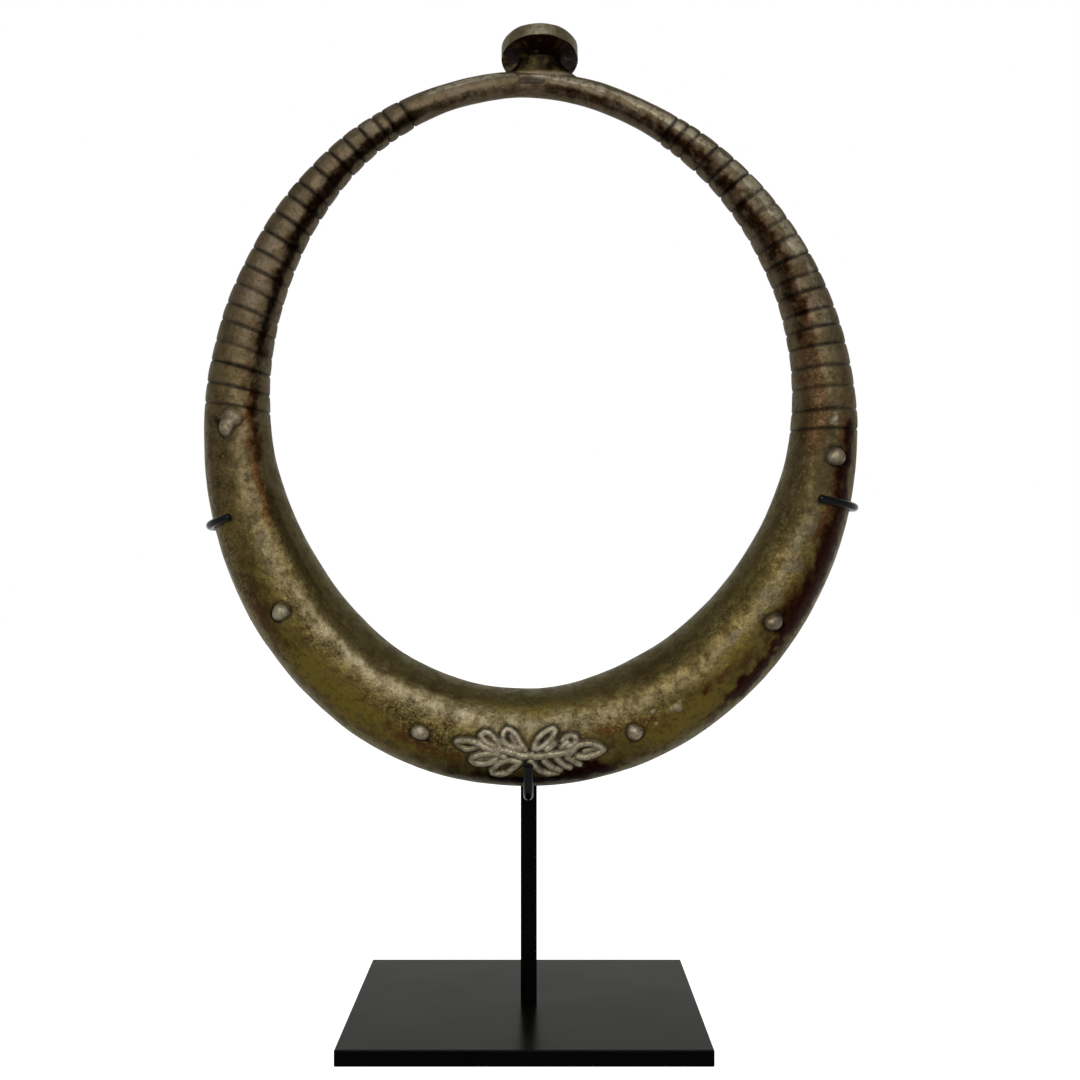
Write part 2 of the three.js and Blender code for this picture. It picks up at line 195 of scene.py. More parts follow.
# Lower, worn threads: the veins in three leaves, and the lower edge of the leftmost leaf
FAINT_THREADS = [
    [(-8.5, -1.9), (-7.1, 0.2), (-6.0, 1.6)],
    [(-27.8, 2.7), (-28.5, 3.4), (-26.4, 4.9), (-24.0, 5.5), (-21.9, 4.5), (-19.5, 3.3)],
    [(-13.4, 6.5), (-16.4, 7.5), (-19.4, 8.2)],
    [(17.6, 6.6), (20.2, 6.2), (22.4, 6.2)],
]

# The shallow square recess in the front of the band, below the button
RECESS_X = RING_X + 0.0009
RECESS_Z = outline_at(180)[1] - 0.00435
RECESS_SIZE = (0.0094, 0.0027)
RECESS_DEPTH = 0.0006
RECESS_CORNER = 0.0008

# The ring's mesh: the distances between its columns in metres, where there is less and more detail, and
# the degrees between its rows over the front, up to each turn
LIP_DISTANCES = (0.00035, 0.0008, 0.0015)
LONGEST_SEGMENT = 0.02
PLAIN_SPACING = 0.0016
TOP_SPACING = 0.0011
DETAIL_SPACING = 0.0006
LEAF_SPACING = 0.00036
PELLET_REACH = 0.0052
SPRAY_REACH = 0.031
ROW_COUNT = 108
ROW_STEPS = [(40, 5.0), (116, 1.12), (180, 4.4), (340, 12.5), (360, 6.0)]


def distance_to(line, across, down):
    """Millimetres from each place of the spray to a thread's middle line."""
    least = np.full(across.shape, 99.0)
    for (x0, y0), (x1, y1) in zip(line, line[1:]):
        dx = x1 - x0
        dy = y1 - y0
        share = ((across - x0) * dx + (down - y0) * dy) / (dx * dx + dy * dy)
        share = np.clip(share, 0, 1)
        least = np.minimum(least, np.hypot(across - x0 - share * dx, down - y0 - share * dy))
    return least


def slant_at(arm, angle):
    """How far a cut line of an arm slants, from the angle of its outer end."""
    places = np.linspace(arm["angles"][0], arm["angles"][-1], len(arm["slant"]))
    return np.interp(angle, places, arm["slant"])


def degrees_from(angles, middle):
    """Degrees between angles and a middle one, the shorter way round."""
    return abs((angles - middle + 180) % 360 - 180)


def column_angles():
    """Outer and inner angle of each column of the ring's mesh, once round, close where there is detail."""
    edges = []
    for arm in CUTS:
        angles = np.array(arm["angles"])
        slants = slant_at(arm, angles)
        edges.append(np.stack([angles, angles + slants], -1))
    cuts = np.concatenate([edges[0], 360 - edges[1][::-1], edges[0][:1] + 360])
    columns = []
    for start, end in zip(cuts, cuts[1:]):
        angles = np.arange(start[0], end[0], FINE_STEP)
        pitch = pitch_at(angles)
        length = pitch.sum() * FINE_STEP
        lips = np.array(LIP_DISTANCES) / length
        if length < LONGEST_SEGMENT:
            shares = np.concatenate([[0], lips, [0.5], 1 - lips[::-1]])
        else:
            spacing = np.full(angles.shape, PLAIN_SPACING)
            below_button = degrees_from(angles, 180) < 7
            spacing[below_button] = DETAIL_SPACING
            spacing[(angles < 200) & ~below_button] = TOP_SPACING
            for at_angle, *rest in PELLETS:
                spacing[degrees_from(angles, at_angle) * pitch < PELLET_REACH] = DETAIL_SPACING
            spacing[degrees_from(angles, SPRAY_ANGLE) * pitch < SPRAY_REACH] = LEAF_SPACING
            dense = np.cumsum(pitch * FINE_STEP / spacing)
            wanted = np.linspace(dense[0], dense[-1], int(dense[-1]))
            shares = (np.interp(wanted, dense, angles) - start[0]) / (end[0] - start[0])
            inside = (shares > 1.5 * lips[-1]) & (shares < 1 - 1.5 * lips[-1])
            shares = np.concatenate([[0], lips, shares[inside], 1 - lips[::-1]])
        columns.append(start + shares[:, None] * (end - start))
    return np.concatenate(columns)


def row_turns():
    """Even turns round the section, and turns that lie close together over the front."""
    turns = np.arange(0, 360, 0.25)
    limits, steps = zip(*ROW_STEPS)
    step = np.select([turns < limit for limit in limits], list(steps))
    dense = np.concatenate([[0], np.cumsum(0.25 / step)])
    wanted = np.arange(ROW_COUNT) / ROW_COUNT
    close = np.interp(wanted * dense[-1], dense, np.append(turns, 360))
    return wanted * 360, close


columns = column_angles()
even_turns, close_turns = row_turns()
# The front is meshed closely over the lower half, and the arms evenly all round
lowness = np.clip((105 - degrees_from(columns[:, 0], 0)) / 20, 0, 1)[:, None]
turn = even_turns * (1 - lowness) + close_turns * lowness
slant = (1 - np.cos(np.radians(turn))) / 2
angle = columns[:, :1] * (1 - slant) + columns[:, 1:] * slant
signed = (angle + 180) % 360 - 180
skin = ring_point(angle, turn, 0)
height = np.zeros(angle.shape)
# Each mark says for every point of the mesh how much it has of a finish; some marks are painted light and
# shade
marks = {name: np.zeros(angle.shape) for name in ("raised", "dirt_and_shade", "arms")}
segment_tone = np.zeros(angle.shape)
chance = np.random.default_rng(5)

# Cut lines, with a slightly swollen segment between each two
for arm in CUTS:
    angles = np.array(arm["angles"])
    own = signed * arm["side"]
    own = own - slant * slant_at(arm, own)
    away = abs(own[..., None] - angles)
    nearest = away.argmin(-1)
    apart = away.min(-1) * pitch_at(angle)
    depth_share = np.array(arm["shares"])[nearest]
    within = (own > angles[0]) & (own < angles[-1])
    number = np.interp(own, angles, np.arange(len(angles)))
    tones = chance.uniform(-1, 1, len(angles))
    segment_tone += within * tones[number.astype(int)]
    ragged = 0.8 + 0.2 * np.sin(nearest * 2.3 + turn / 23)
    ragged *= 0.55 + 0.45 * abs(np.sin(np.radians(turn)))
    cut = np.clip(1 - apart / GROOVE_HALF, 0, 1) ** 0.8 * ragged * depth_share
    between = np.clip(apart / SEGMENT_SLOPE, 0, 1)
    fuller_inside = 0.6 + 0.9 * slant * np.clip(number / 12 - 0.6, 0, 1)
    swell = (1 - (1 - between) ** 2.2) * within * fuller_inside
    height += SEGMENT_SWELL * swell - GROOVE_DEPTH * cut
    dirt = np.clip(1 - apart / GROOVE_DIRT_HALF, 0, 1) * depth_share
    marks["dirt_and_shade"] = np.maximum(marks["dirt_and_shade"], dirt)
    marks["arms"] = np.maximum(marks["arms"], np.clip((own - 62) / 50, 0, 1))

# Pellets, each a low worn dome in a slight hollow
local_half = smooth_loop(BAND_WIDTHS, angle) / 2
lumps = np.zeros(angle.shape)
for at_angle, at_turn, diameter, rise, tilt, corner in PELLETS:
    across = (signed - at_angle) * pitch_at(angle)
    down = np.radians(at_turn - turn) * local_half
    bearing = np.arctan2(down, across)
    edge = 1 + 0.09 * np.cos(2 * (bearing - np.radians(tilt)))
    edge += 0.06 * np.cos(3 * (bearing - np.radians(corner)))
    edge *= diameter / 2
    apart = np.hypot(across, down) / edge
    dome = np.clip(1 - apart ** 2.2, 0, 1) ** 0.66 * PELLET_HEIGHT_SHARE * rise * diameter / 2
    lumps = (lumps ** 3 + dome ** 3) ** (1 / 3)
    ditch = np.exp(-(((apart - 1.12) / 0.2) ** 2)) * min(1, rise)
    height -= PELLET_DITCH * ditch
    tarnished = at_angle > TARNISHED_FROM
    bare_metal = rise * (0.58 if tarnished else 1)
    marks["raised"] = np.maximum(marks["raised"], np.clip(dome / (diameter * 0.16), 0, 1) * bare_metal)
    whole_pellet = diameter > SMALLEST_PELLET and rise > 0.5
    marks["dirt_and_shade"] = np.maximum(marks["dirt_and_shade"], ditch * 0.9 * whole_pellet)
    dirt_round = np.exp(-(((apart - 1.1) / 0.55) ** 2)) * 0.45 * tarnished
    marks["dirt_and_shade"] = np.maximum(marks["dirt_and_shade"], dirt_round)
height += lumps
marks["dirt_and_shade"] *= 1 - marks["raised"]

# Leaf sprays: threads with round backs, and slightly sunk ground in and around the leaves
spray_half = smooth_loop(BAND_WIDTHS, SPRAY_ANGLE) / 2
across = (signed - SPRAY_ANGLE) * pitch_at(SPRAY_ANGLE) * 1000
down = np.radians(90 - turn) * spray_half * 1000
near = (abs(across) < 32) & (down > -9) & (down < 20)
threads = [(line, THREAD_HALF, 1) for line in LEAF_THREADS]
threads += [(line, THREAD_HALF * 1.12, 1.02) for line in STEM_THREADS]
threads += [(line, THREAD_HALF * 0.85, 0.5) for line in FAINT_THREADS]
relief = np.zeros(near.sum())
nearest = np.full(near.sum(), 99.0)
beading = 1 + 0.07 * np.sin(across[near] * 3 + down[near] * 5)
for line, half, share in threads:
    apart = distance_to(line, across[near], down[near]) / half
    relief = np.maximum(relief, share * np.exp(-(apart ** 4)) * beading)
    nearest = np.minimum(nearest, apart)
beside = np.exp(-(((nearest - 1.28) / 0.38) ** 2))
height[near] += THREAD_HEIGHT * relief - THREAD_DITCH * beside
marks["raised"][near] = np.maximum(marks["raised"][near], np.clip(relief * 1.3, 0, 1))
around_threads = 0.4 * np.exp(-(((nearest - 1.3) / 0.8) ** 2))
marks["dirt_and_shade"][near] = np.maximum(marks["dirt_and_shade"][near], np.maximum(beside, around_threads))

# The recess has soft corners and a flat floor
front = np.sin(np.radians(turn)) > 0
aside = (RECESS_SIZE[0] / 2 - abs(skin[..., 0] - RECESS_X)) / RECESS_CORNER
below = (RECESS_SIZE[1] / 2 - abs(skin[..., 2] - RECESS_Z)) / RECESS_CORNER
sunk = np.clip(aside + 0.5, 0, 1) * np.clip(below + 0.5, 0, 1) * front
height -= RECESS_DEPTH * sunk
marks["dirt_and_shade"] = np.maximum(marks["dirt_and_shade"], 0.8 * sunk)

# The hand of the wax worker: slow waves, small dents and fine grit, with the outer edge worn flat
WAVE_HEIGHT = 0.00026
DENT_HEIGHT = 0.00009
GRIT_HEIGHT = 0.00004
EDGE_WEAR = 0.00005


def waver(spot, scale, shift=(0, 0, 0)):
    """Smooth noise at a spot, between -1 and 1, at a scale per metre."""
    return noise.noise(Vector(spot) * scale + Vector(shift))


drift_along = np.zeros(angle.shape)
drift_round = np.zeros(angle.shape)
for index, spot in enumerate(skin.reshape(-1, 3)):
    wave = waver(spot, 52)
    dent = waver(spot, 120, (7, 3, 1))
    grit = waver(spot, 300, (1, 9, 4))
    height.flat[index] += WAVE_HEIGHT * wave + DENT_HEIGHT * dent + GRIT_HEIGHT * grit
    drift_along.flat[index] = waver(spot, 150, (4, 4, 2)) + 0.5 * grit
    drift_round.flat[index] = dent + 0.6 * waver(spot, 380, (8, 2, 6))
height -= EDGE_WEAR * np.clip(np.cos(np.radians(turn)), 0, 1) ** 4
skin = ring_point(angle, turn, height)

# Where the patina changes, and where highlights and shade are painted: angle, turn, reach along and reach
# round in degrees, strength
PATCHES = {
    "stain_and_shade": [
        (70, 48, 12, 22, 1.0), (82, 54, 7, 18, 0.9), (58, 48, 8, 22, 1.0), (46, 42, 7, 16, 0.95),
        (36, 36, 6, 12, 0.6), (10, 38, 10, 14, 1.0), (0, 36, 10, 12, 0.9), (-12, 30, 9, 10, 0.5),
        (-90, 128, 13, 16, 0.62), (-74, 128, 9, 9, 0.42), (-88, 58, 6, 12, 0.4), (60, 60, 9, 11, 0.8),
        (88, 46, 5, 12, 0.3), (60, 68, 7, 7, 0.5), (56.5, 66, 4, 12, 0.8), (36, 80, 2.5, 9, 0.5),
        (-50, 60, 3, 8, 0.4),
    ],
    "rust": [
        (12, 94, 4, 7, 0.4), (16, 82, 6, 9, 0.9), (22, 84, 5, 12, 0.8), (27, 70, 6, 12, 0.55),
        (38, 78, 3, 10, 0.9), (50, 64, 7, 12, 0.7), (56, 92, 4, 9, 0.5), (92, 106, 12, 18, 1.0),
        (98, 120, 14, 26, 1.25), (86, 66, 9, 14, 0.9), (104, 108, 12, 14, 0.9), (78, 66, 6, 14, 0.7),
        (-23, 66, 5, 14, 0.8), (-16, 62, 7, 12, 0.7), (-84, 122, 16, 13, 1.0), (60, 70, 9, 10, 0.9),
        (75, 72, 8, 10, 0.8), (92, 70, 8, 14, 0.7), (-57, 52, 8, 12, 0.9), (-64, 48, 6, 10, 0.6),
        (90, 118, 12, 15, 0.9), (112, 112, 14, 18, 0.9), (130, 110, 14, 18, 0.8), (150, 108, 16, 18, 0.8),
        (172, 112, 14, 18, 0.7), (-106, 112, 12, 12, 0.6), (-130, 106, 20, 10, 0.5),
        (-69, 50, 6, 10, 0.5), (-40, 42, 9, 9, 0.5), (-92, 62, 6, 14, 0.6), (112, 84, 10, 12, 0.5),
    ],
    "yellow": [
        (-40, 62, 17, 24, 1.0), (-24, 60, 12, 16, 0.8), (30, 62, 14, 26, 1.0), (2, 130, 16, 12, 0.7),
        (44, 84, 8, 14, 0.7), (62, 122, 18, 18, 0.5), (-8, 84, 9, 12, 0.5), (-74, 56, 8, 16, 0.7),
        (-96, 56, 10, 18, 0.6), (50, 56, 3, 10, 0.9), (-100, 80, 6, 26, 0.5), (176, 124, 12, 16, 0.5),
    ],
    # Worn grey patches, and painted highlights on the top and on the upward-facing outer half of the arms
    "wear_and_sheen": [
        (-85, 98, 4, 12, 0.7), (-78, 106, 4, 9, 0.75), (-72, 108, 5, 9, 0.7), (-66, 96, 6, 16, 0.75),
        (-59, 90, 5, 14, 0.7), (70, 92, 14, 16, 1.0), (60, 92, 11, 14, 0.95), (46, 98, 10, 10, 0.8),
        (-30, 106, 14, 8, 0.5), (94, 82, 5, 14, 0.8), (103, 80, 4, 14, 0.8), (-150, 60, 14, 28, 0.9),
        (-122, 74, 10, 22, 0.7), (128, 58, 16, 24, 1.5), (108, 62, 9, 16, 1.1), (154, 66, 16, 22, 1.6),
        (174, 65, 12, 22, 1.6), (90, 86, 5, 10, 1.0), (-168, 56, 12, 24, 1.4),
    ],
    "pits": [
        (-22, 88, 12, 22, 1.0), (-68, 46, 8, 16, 1.0), (76, 122, 18, 20, 0.5), (4, 106, 22, 16, 0.6),
        (24, 92, 10, 18, 0.6), (48, 124, 20, 18, 0.45), (-50, 98, 9, 12, 0.7), (-86, 60, 9, 22, 0.6),
        (98, 116, 12, 28, 0.5),
    ],
    # Dull patina, and painted shade: the dark band inside the crest and a darker front on the right
    "dull_and_shade": [
        (-66, 132, 16, 10, 0.9), (-46, 124, 14, 10, 1.0), (-24, 132, 12, 8, 0.6), (32, 128, 16, 16, 0.7),
        (36, 119, 16, 9, 0.75), (58, 120, 16, 12, 0.7), (76, 116, 12, 16, 0.8), (83, 94, 9, 26, 0.8),
        (62, 60, 16, 10, 0.7), (-60, 56, 12, 12, 0.5), (97, 118, 12, 26, 0.5), (-76, 100, 12, 10, 0.45),
        (86, 130, 16, 22, 0.5), (94, 86, 7, 20, 0.6), (172, 104, 16, 14, 0.7), (150, 94, 16, 12, 0.6),
        (-87, 76, 11, 40, 0.55), (48, 111, 14, 12, 0.5), (75, 92, 7, 16, 0.6), (91, 116, 9, 12, 0.4),
        (130, 92, 16, 12, 0.5),
    ],
}
drifted = signed + 5 * drift_along
turned = turn + 10 * drift_round
steady = turn + 3 * drift_round
for name, patches in PATCHES.items():
    marks[name] = np.zeros(angle.shape)
    wandering = steady if name == "dull_and_shade" else turned
    for at_angle, at_turn, reach_along, reach_round, strength in patches:
        aside = ((drifted - at_angle + 180) % 360 - 180) / reach_along
        away = aside ** 2 + ((wandering - at_turn) / reach_round) ** 2
        marks[name] = np.maximum(marks[name], strength * np.exp(-(away ** 1.4)))
# Stains are rubbed off the outer edge, least of all on the right
marks["stain_and_shade"] *= np.clip((turned - 12) / 16, np.interp(signed, (30, 45), (0.15, 0.8)), 1)
# The inner half of each arm faces down and is darkened from where it starts, at each angle: partly its thick
# dark patina, partly painted shade
soft = turn + 8 * drift_round + 4 * drift_along
starts = np.interp(signed, (-150, -130, -112, -90, 90, 105, 140, 160), (85, 89, 103, 106, 92, 80, 78, 80))
strengths = np.interp(
    signed,
    (-180, -165, -150, -120, -100, 100, 165, 176, 180),
    (0.34, 0.55, 0.8, 0.82, 0.8, 0.64, 0.64, 0.6, 0.34),
)
arm_shade_and_patina = np.clip((soft - starts + 2) / 30, 0, 1) * np.clip((164 - soft) / 30, 0, 1)
arm_shade_and_patina *= np.clip((abs(signed) - 86 - 5 * (signed > 0)) / 20, 0, 1) * strengths
marks["stain_and_shade"] = np.maximum(marks["stain_and_shade"], arm_shade_and_patina)
# The front crest: wear and a painted highlight; the inner side grey and green; the outer edge a pale painted
# reflection
crest_turn = np.interp(signed, (-80, -60, -45, -10, 10, 40), (99, 105, 111, 113, 108, 100))
marks["crest"] = np.exp(-(((turn + 2 * drift_round - crest_turn) / 12) ** 2))
marks["crest"] *= np.interp(signed, (-95, -85, -60, -40, -5, 30, 80), (0, 0.25, 0.6, 1, 1, 0.4, 0.15))
marks["inner"] = np.clip((steady - 114) / 14, 0, 1) * np.clip((200 - turn) / 12, 0, 1)
# The outer edge is lightened: a painted reflection of the pale floor
rim_sheen_share = np.interp(signed, (-60, -45, 35, 50, 90, 100), (0.6, 1, 1, 0.2, 0.2, 0.6))
marks["rim_sheen"] = np.clip((40 - turned) / 14, 0, 1) * rim_sheen_share
# No two segments of an arm have quite the same tone
marks["wear_and_sheen"] += 0.35 * np.clip(segment_tone, 0, 1)
marks["yellow"] = np.maximum(marks["yellow"], 0.9 * np.clip(-segment_tone, 0, 1) * (signed > 0))
marks["dull_and_shade"] = np.maximum(marks["dull_and_shade"], 0.45 * np.clip(-segment_tone, 0, 1))
# Metres along the ring and round its section, for the scratches
marks["along"] = np.radians(signed) * MEAN_RADIUS
marks["around"] = np.radians(turn) * local_half

column_count, row_count = angle.shape
grid = np.arange(column_count * row_count).reshape(column_count, row_count)
after = np.roll(grid, -1, 0)
ring_faces = np.stack([grid, np.roll(grid, -1, 1), np.roll(after, -1, 1), after], -1).reshape(-1, 4)
ring_points = skin.reshape(-1, 3)
ring_marks = {name: values.reshape(-1) for name, values in marks.items()}


# ---------------------------------------------------------------- Button and neck of the necklace
# A thick round button on a flared neck, part of the same casting. It was modelled in wax on top of
# the ring and leans so that its front edge stands up. The neck runs out into the ring on both sides.
BUTTON_RADIUS = 0.01465
BUTTON_THICKNESS = 0.0059
BUTTON_ROUNDING = 0.00045
BUTTON_LEAN = -22.6
BUTTON_SEAT = Vector((RING_X + 0.0039, RING_Y, outline_at(180)[1] + 0.00405))
NECK_FOOT = (0.020, 0.0033)
NECK_HEAD = (0.007, 0.0035)


def lofted(sections, closed_ends):
    """Quads through a row of rings of points, with a fan at each end if the ends are closed."""
    sections = np.asarray(sections)
    rings, sides = sections.shape[:2]
    numbers = np.arange(rings * sides).reshape(rings, sides)
    beside = np.roll(numbers, -1, 1)
    quads = np.stack([numbers[:-1], beside[:-1], beside[1:], numbers[1:]], -1).reshape(-1, 4).tolist()
    made = sections.reshape(-1, 3)
    if closed_ends:
        made = np.vstack([made, sections[0].mean(0), sections[-1].mean(0)])
        low = rings * sides
        quads += [[low, beside[0][i], numbers[0][i]] for i in range(sides)]
        quads += [[low + 1, numbers[-1][i], beside[-1][i]] for i in range(sides)]
    return made, quads


neck_foot_z = outline_at(180)[1] - smooth_loop(BAND_WIDTHS, 180) / 2
neck_head_z = BUTTON_SEAT.z + BUTTON_THICKNESS / 2
neck_sections = []
for share in np.linspace(0, 1, 25):
    flare = (1 - share) ** 2
    half_x = NECK_HEAD[0] + (NECK_FOOT[0] - NECK_HEAD[0]) * flare
    half_y = NECK_HEAD[1] + (NECK_FOOT[1] - NECK_HEAD[1]) * flare
    z = neck_foot_z + (neck_head_z - neck_foot_z) * share
    way = np.radians(np.arange(0, 360, 360 / 56))
    section = [BUTTON_SEAT.x + half_x * np.cos(way), BUTTON_SEAT.y - half_y * np.sin(way), z + 0 * way]
    neck_sections.append(np.stack(section, -1))
neck_points, neck_faces = lofted(neck_sections, True)

button_outline = [(share * BUTTON_RADIUS, 0) for share in (0.1, 0.25, 0.4, 0.55, 0.7, 0.82, 0.92)]
for way in np.radians(np.linspace(0, 90, 5)):
    aside = BUTTON_RADIUS - BUTTON_ROUNDING + BUTTON_ROUNDING * math.sin(way)
    button_outline.append((aside, BUTTON_ROUNDING - BUTTON_ROUNDING * math.cos(way)))
button_outline += [(BUTTON_RADIUS, BUTTON_THICKNESS * share) for share in (0.35, 0.6)]
for way in np.radians(np.linspace(0, 90, 5)):
    aside = BUTTON_RADIUS - BUTTON_ROUNDING + BUTTON_ROUNDING * math.cos(way)
    button_outline.append((aside, BUTTON_THICKNESS - BUTTON_ROUNDING + BUTTON_ROUNDING * math.sin(way)))
button_outline += [(share * BUTTON_RADIUS, BUTTON_THICKNESS) for share in (0.92, 0.8, 0.6, 0.4, 0.2)]
lean = Matrix.Rotation(math.radians(BUTTON_LEAN), 3, "X")
button_sections = []
underside = []
for radius, rise in button_outline:
    section = []
    for way in np.radians(np.arange(0, 360, 4)):
        spot = Vector((radius * math.cos(way), radius * math.sin(way), rise))
        uneven = noise.noise(spot * 160 + Vector((5, 5, 5))) * 0.0002
        spot.x *= 1 + uneven / BUTTON_RADIUS
        spot.y *= 1 + uneven / BUTTON_RADIUS
        spot.z += uneven
        section.append(lean @ spot + BUTTON_SEAT)
        underside.append(rise < BUTTON_ROUNDING * 0.9)
    button_sections.append(section)
button_points, button_faces = lofted(button_sections, True)
underside += [True, False]
underside = np.array(underside, float)
near_neck = np.exp(-(((button_points[:, 0] - BUTTON_SEAT.x + 0.003) / 0.0085) ** 2))
near_neck = near_neck * np.clip((BUTTON_SEAT.z + 0.003 - button_points[:, 2]) / 0.003, 0, 1)
middle = np.exp(-(((button_points[:, 0] - BUTTON_SEAT.x) / 0.006) ** 2))


def mottle(points):
    """Uneven patches at points under the button, from -1 to 1, breaking up its patina and painted shade."""
    return np.array([waver(point, 420) + 0.4 * waver(point, 900) for point in points])


# The underside of the button is darkened with painted shade over its patina
button_marks = {
    "stain_and_shade": underside * np.clip(0.85 - 0.45 * near_neck + 0.7 * mottle(button_points), 0, 1),
    "dirt_and_shade": underside * np.clip(0.45 - 0.3 * near_neck + 0.5 * mottle(button_points), 0, 1),
    "rust": underside * 0.5,
    "yellow": underside * near_neck,
    # The top of the button carries a painted highlight, lightest in the middle
    "raised": (0.1 + 0.5 * middle) * (1 - underside),
    "wear_and_sheen": (0.85 + 0.45 * middle) * (1 - underside),
    "inner": 0.5 * (1 - underside),
}
on_ring = np.clip((outline_at(180)[1] - neck_points[:, 2]) / 0.0012, 0, 1)
up_neck = np.clip((neck_points[:, 2] - outline_at(180)[1]) / 0.006, 0, 1)
right_neck = np.clip((neck_points[:, 0] - BUTTON_SEAT.x) / 0.005, 0, 1)
# The neck under the button is darkened with painted shade, more so higher up and on its right; its foot keeps
# the ring's marks
neck_shade = np.clip(0.72 + 0.3 * up_neck + 0.25 * right_neck + 0.7 * mottle(neck_points), 0, 1)
neck_marks = {
    "arms": on_ring,
    "wear_and_sheen": 0.85 * on_ring,
    "dirt_and_shade": neck_shade * (1 - on_ring),
    "stain_and_shade": 0.35 * (1 - on_ring),
    "dull_and_shade": 1.2 * (1 - on_ring),
    "yellow": 0.4 * (1 - on_ring),
}


def add_piece(name, points, faces):
    """A smooth-shaded mesh object from points and faces."""
    mesh = bpy.data.meshes.new(name)
    mesh.from_pydata(np.asarray(points).tolist(), [], [list(face) for face in faces])
    mesh.polygons.foreach_set("use_smooth", [True] * len(mesh.polygons))
    mesh.validate()
    piece = bpy.data.objects.new(name, mesh)
    bpy.context.scene.collection.objects.link(piece)
    return piece


offset = len(ring_points)
points = np.vstack([ring_points, neck_points, button_points])
faces = ring_faces.tolist()
faces += [[offset + i for i in face] for face in neck_faces]
offset += len(neck_points)
faces += [[offset + i for i in face] for face in button_faces]
for name, values in ring_marks.items():
    on_neck = neck_marks.get(name, np.zeros(len(neck_points)))
    on_button = button_marks.get(name, np.zeros(len(button_points)))
    marks[name] = np.concatenate([values, on_neck, on_button])
necklace = add_piece("necklace_cast", points, faces)
for name, values in marks.items():
    layer = necklace.data.attributes.new(name, "FLOAT", "POINT")
    layer.data.foreach_set("value", values.astype(np.float32))
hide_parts("necklace")
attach(necklace, "root")


def add_node(tree, kind, inputs=None, **settings):
    """A shader node with its settings and inputs; an input is a value or another node's output."""
    made = tree.nodes.new(kind)
    for name, value in settings.items():
        setattr(made, name, value)
    for name, value in (inputs or {}).items():
        if isinstance(value, bpy.types.NodeSocket):
            tree.links.new(value, made.inputs[name])
        else:
            made.inputs[name].default_value = value
    return made


def shade(red, green, blue):
    """A colour from its 0 to 255 display values."""
    display = (red / 255, green / 255, blue / 255)
    linear = [c / 12.92 if c <= 0.04045 else ((c + 0.055) / 1.055) ** 2.4 for c in display]
    return (*linear, 1)


def blend(tree, share, low, high):
    """A mix of two colours."""
    made = add_node(tree, "ShaderNodeMix", {0: share, 6: low, 7: high}, data_type="RGBA")
    return made.outputs[2]


def fit(tree, value, low, high, to_low=0.0, to_high=1.0):
    """A value between two limits, spread smoothly over two others."""
    made = add_node(
        tree,
        "ShaderNodeMapRange",
        {"Value": value, "From Min": low, "From Max": high, "To Min": to_low, "To Max": to_high},
        interpolation_type="SMOOTHSTEP",
    )
    return made.outputs[0]


def times(tree, first, second):
    """The product of two values."""
    return add_node(tree, "ShaderNodeMath", {0: first, 1: second}, operation="MULTIPLY").outputs[0]


def plus(tree, first, second):
    """The sum of two values, held between 0 and 1."""
    return add_node(tree, "ShaderNodeMath", {0: first, 1: second}, operation="ADD", use_clamp=True).outputs[0]


def mark(tree, name):
    """A value stored in the mesh."""
    return add_node(tree, "ShaderNodeAttribute", attribute_name=name, attribute_type="GEOMETRY").outputs["Fac"]


# The fine unevenness of the bronze and both paints, each at its own scale: a noise, spread over 0 to 1
metal_grain = bpy.data.node_groups.new("metal_grain", "ShaderNodeTree")
metal_grain.interface.new_socket("Place", in_out="INPUT", socket_type="NodeSocketVector")
for name in ("Scale", "Detail", "Roughness"):
    metal_grain.interface.new_socket(name, in_out="INPUT", socket_type="NodeSocketFloat")
metal_grain.interface.new_socket("Grain", in_out="OUTPUT", socket_type="NodeSocketFloat")
given = metal_grain.nodes.new("NodeGroupInput").outputs
cloudy = add_node(
    metal_grain,
    "ShaderNodeTexNoise",
    {
        "Vector": given["Place"],
        "Scale": given["Scale"],
        "Detail": given["Detail"],
        "Roughness": given["Roughness"],
    },
)
spread = add_node(metal_grain, "ShaderNodeMapRange", {"Value": cloudy.outputs["Fac"], 1: 0.3, 2: 0.7})
result = metal_grain.nodes.new("NodeGroupOutput")
metal_grain.links.new(spread.outputs[0], result.inputs["Grain"])


def grain(tree, place, scale, detail, roughness=0.6):
    """The metal grain in a material, at a scale per metre."""
    values = {"Place": place, "Scale": scale, "Detail": detail, "Roughness": roughness}
    return add_node(tree, "ShaderNodeGroup", values, node_tree=metal_grain).outputs["Grain"]


def start_material(name):
    """A new material: its node tree, its main shader, and the place on the object."""
    material = bpy.data.materials.new(name)
    material.use_nodes = True
    tree = material.node_tree
    place = tree.nodes.new("ShaderNodeTexCoord").outputs["Object"]
    return material, tree, tree.nodes["Principled BSDF"], place


# Colours of the bronze. The sheen grey and rim olive are painted highlight and reflection; the dull olive,
# stain and dirt colours are partly painted shade
OLIVE = shade(116, 100, 50)
DARK_OLIVE = shade(68, 54, 20)
YELLOW_OLIVE = shade(124, 106, 42)
GREEN_GREY = shade(100, 94, 58)
GREY_BROWN = shade(104, 88, 68)
WORN_GREY = shade(108, 98, 76)
SHEEN_PALE_GREY = shade(176, 167, 142)
CREST_WEAR_AND_SHEEN_TAN = shade(140, 129, 103)
GREY_TAN = shade(176, 166, 141)
RUST = shade(92, 55, 26)
RIM_SHEEN_OLIVE = shade(140, 130, 88)
DULL_SHADE_OLIVE = shade(58, 48, 20)
STAIN_AND_SHADE_RED = shade(46, 9, 7)
STAIN_AND_SHADE_BROWN = shade(19, 5, 2)
PIT_TAN = shade(168, 150, 104)
DIRT_AND_SHADE_BROWN = shade(15, 9, 4)

